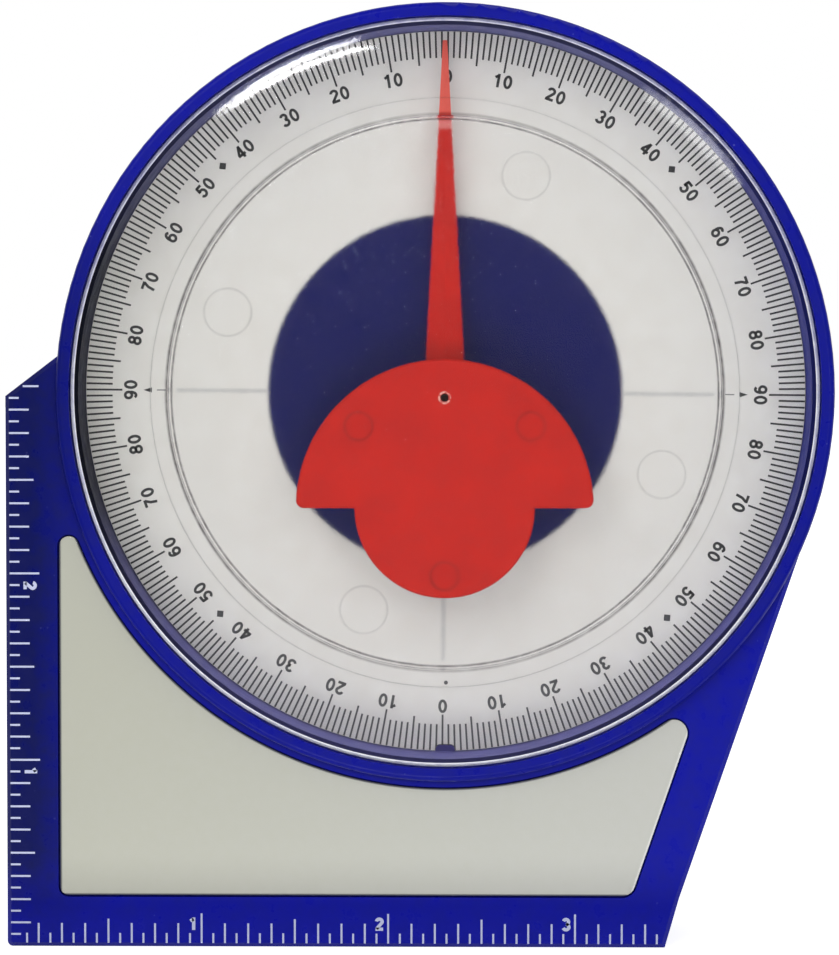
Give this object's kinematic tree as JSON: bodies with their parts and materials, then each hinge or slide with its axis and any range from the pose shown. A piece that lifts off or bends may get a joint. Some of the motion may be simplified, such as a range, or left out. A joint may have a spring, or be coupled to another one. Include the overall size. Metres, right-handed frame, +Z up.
{
  "type": "inclinometer",
  "caption": "Dial inclinometer with a free-swinging pendulum needle behind a clear lens, a ruler arm, a ruler base and a magnetic base with a pipe groove.",
  "frame": {"origin": "middle of the bounding box at the base, on the surface that the base stands on", "axes": "+Z up along the ruler arm, -Y out of the dial's face, +X to the right seen from the front"},
  "size_m": [0.112, 0.026, 0.1279],
  "materials": {
    "case_blue": "moulded, semi-gloss",
    "plate_silver": "satin, bare",
    "dial_white": "matte, printed scale",
    "lens_clear": "clear, frosted middle",
    "pendulum_red": "moulded, satin",
    "brass": "turned",
    "steel": "plain",
    "screw_steel": "zinc plated",
    "magnet_grey": "sintered, dull",
    "washer_white": "smooth"
  },
  "bodies": {
    "case": {"housing": "case_blue", "front_plate": "plate_silver", "dial_plate": "dial_white", "lens": "lens_clear", "pivot_pin": "steel", "thrust_washer": "washer_white", "rear_cover": "case_blue", "rear_plate": "plate_silver", "rear_cover_screws": "screw_steel", "magnet_front_left": "magnet_grey", "magnet_front_right": "magnet_grey", "magnet_rear_left": "magnet_grey", "magnet_rear_right": "magnet_grey", "keeper_front_left": "steel", "keeper_front_right": "steel", "keeper_rear_left": "steel", "keeper_rear_right": "steel"},
    "pendulum": {"pendulum_disc": "pendulum_red", "counterweight": "steel", "needle": "pendulum_red", "pivot_bush": "brass"}
  },
  "joints": [
    {"name": "pendulum_swing", "type": "hinge", "parent": "case", "child": "pendulum", "pos_m": [0.00355, -0.0075, 0.0748], "axis": [0, 1, 0], "continuous": true}
  ]
}
